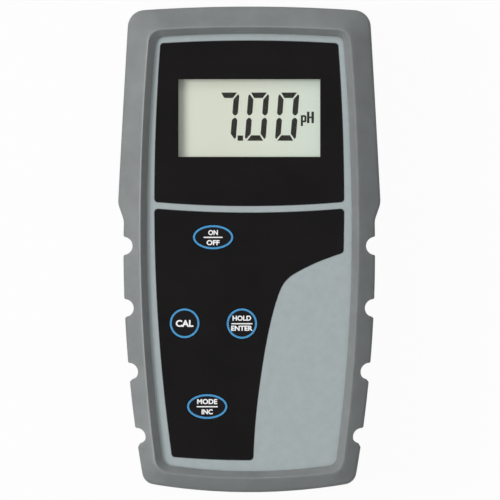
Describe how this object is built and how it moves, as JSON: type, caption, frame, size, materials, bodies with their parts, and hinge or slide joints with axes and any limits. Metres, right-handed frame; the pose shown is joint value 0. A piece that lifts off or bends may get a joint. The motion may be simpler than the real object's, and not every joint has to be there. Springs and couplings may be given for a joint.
{
  "type": "portable ph meter",
  "caption": "Handheld battery pH meter in a notched rubber boot, with a numeric display, membrane keys, a probe socket, a temperature jack and a tilt stand.",
  "frame": {"origin": "on the boot's back face, under the middle of the boot's outline", "axes": "lying on its back: +Z out of the display, +Y towards the connector end, +X to the right of the display"},
  "size_m": [0.0848, 0.157, 0.042],
  "materials": {
    "board_green": "solder mask",
    "boot_rubber": "translucent smoky grey, satin",
    "case_grey": "fine satin",
    "cell_sleeve": "printed sleeve, plain",
    "chip_black": "moulded",
    "contact_gold": "gold plated",
    "contact_rubber": "striped conductive rubber",
    "film_black": "satin film",
    "frame_white": "moulded",
    "insulator_white": "waxy",
    "key_black": "satin film with white legends",
    "lcd_face": "reflective display",
    "lead_copper": "insulated wire",
    "plate_black": "moulded",
    "screw_steel": "zinc plated",
    "seal_rubber": "matte",
    "socket_nickel": "nickel plated",
    "stand_grey": "fine satin",
    "tinned_steel": "tinned",
    "window_clear": "clear"
  },
  "bodies": {
    "meter": {"amplifier_chip": "chip_black", "battery_cell_1": "cell_sleeve", "battery_cell_2": "cell_sleeve", "battery_cell_3": "cell_sleeve", "battery_cell_4": "cell_sleeve", "battery_contacts": "tinned_steel", "battery_springs": "tinned_steel", "board_capacitors": "tinned_steel", "board_crystal": "tinned_steel", "board_screws": "screw_steel", "board_sounder": "chip_black", "cal_dome": "tinned_steel", "connector_plate": "plate_black", "controller_chip": "chip_black", "display_overlay": "film_black", "display_window": "window_clear", "front_housing": "case_grey", "hold_enter_dome": "tinned_steel", "housing_screws": "screw_steel", "housing_seal": "seal_rubber", "input_shield": "tinned_steel", "keypad_overlay": "film_black", "lcd_contact_strips": "contact_rubber", "lcd_frame": "frame_white", "lcd_glass": "lcd_face", "main_board": "board_green", "mode_inc_dome": "tinned_steel", "on_off_dome": "tinned_steel", "probe_socket_contact": "contact_gold", "probe_socket_insulator": "insulator_white", "probe_socket_nut": "socket_nickel", "probe_socket_shell": "socket_nickel", "probe_socket_washer": "socket_nickel", "rear_housing": "case_grey", "rubber_boot": "boot_rubber", "signal_leads": "lead_copper", "stand_hinge_pin": "screw_steel", "temperature_jack": "chip_black", "temperature_jack_nut": "socket_nickel"},
    "on_off_key": {"on_off_key": "key_black"},
    "cal_key": {"cal_key": "key_black"},
    "hold_enter_key": {"hold_enter_key": "key_black"},
    "mode_inc_key": {"mode_inc_key": "key_black"},
    "tilt_stand": {"tilt_stand": "stand_grey"},
    "battery_door": {"battery_door": "case_grey", "battery_door_seal": "seal_rubber", "battery_door_screws": "screw_steel"}
  },
  "joints": [
    {"name": "on_off_press", "type": "slide", "parent": "meter", "child": "on_off_key", "axis": [0, 0, -1], "range_m": [0, 0.0004], "stiffness_N_per_m": 2500, "deforming": ["on_off_dome"]},
    {"name": "cal_press", "type": "slide", "parent": "meter", "child": "cal_key", "axis": [0, 0, -1], "range_m": [0, 0.0004], "stiffness_N_per_m": 2500, "deforming": ["cal_dome"]},
    {"name": "hold_enter_press", "type": "slide", "parent": "meter", "child": "hold_enter_key", "axis": [0, 0, -1], "range_m": [0, 0.0004], "stiffness_N_per_m": 2500, "deforming": ["hold_enter_dome"]},
    {"name": "mode_inc_press", "type": "slide", "parent": "meter", "child": "mode_inc_key", "axis": [0, 0, -1], "range_m": [0, 0.0004], "stiffness_N_per_m": 2500, "deforming": ["mode_inc_dome"]},
    {"name": "stand_hinge", "type": "hinge", "parent": "meter", "child": "tilt_stand", "pos_m": [0, 0.058, 0.0054], "axis": [1, 0, 0], "range_deg": [0, 62]},
    {"name": "battery_door_lift", "type": "slide", "parent": "meter", "child": "battery_door", "axis": [0, 0, -1], "range_m": [0, 0.02]}
  ]
}
